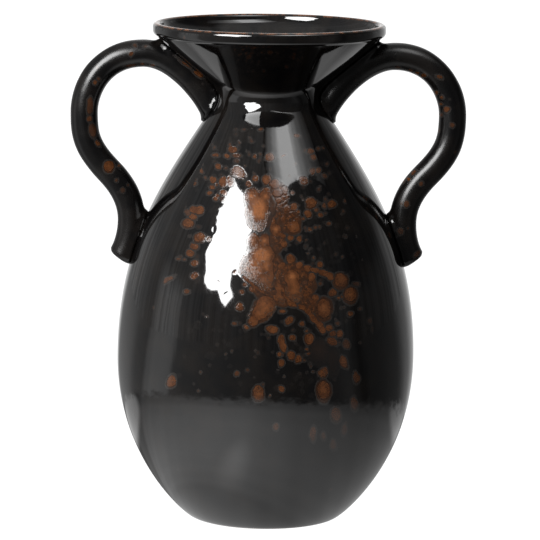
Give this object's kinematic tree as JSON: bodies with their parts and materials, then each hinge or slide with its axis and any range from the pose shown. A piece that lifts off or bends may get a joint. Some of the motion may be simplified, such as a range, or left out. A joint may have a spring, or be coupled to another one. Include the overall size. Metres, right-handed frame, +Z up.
{
  "type": "floor vase",
  "caption": "Large glazed stoneware floor vase with an egg-shaped body, a flared mouth and looped handles from neck to shoulder",
  "frame": {"origin": "centre of the foot ring on the surface the vase stands on", "axes": "+Z up, the handles lie along X, and the vase shows the same side along -Y and +Y"},
  "size_m": [0.42, 0.317, 0.53],
  "materials": {
    "blistered_glaze": "glossy near-black glaze with a splash of copper-brown blisters",
    "handle_glaze": "softer black glaze, mottled, with small brown spots",
    "bare_clay": "dry unglazed stoneware"
  },
  "bodies": {
    "root": {"foot_disc": "bare_clay", "body_wall": "blistered_glaze", "neck_collar": "blistered_glaze", "lip_coil": "blistered_glaze", "handle_right": "handle_glaze", "handle_left": "handle_glaze", "upper_luting_right": "handle_glaze", "upper_luting_left": "handle_glaze", "lower_luting_right": "handle_glaze", "lower_luting_left": "handle_glaze"}
  },
  "joints": []
}
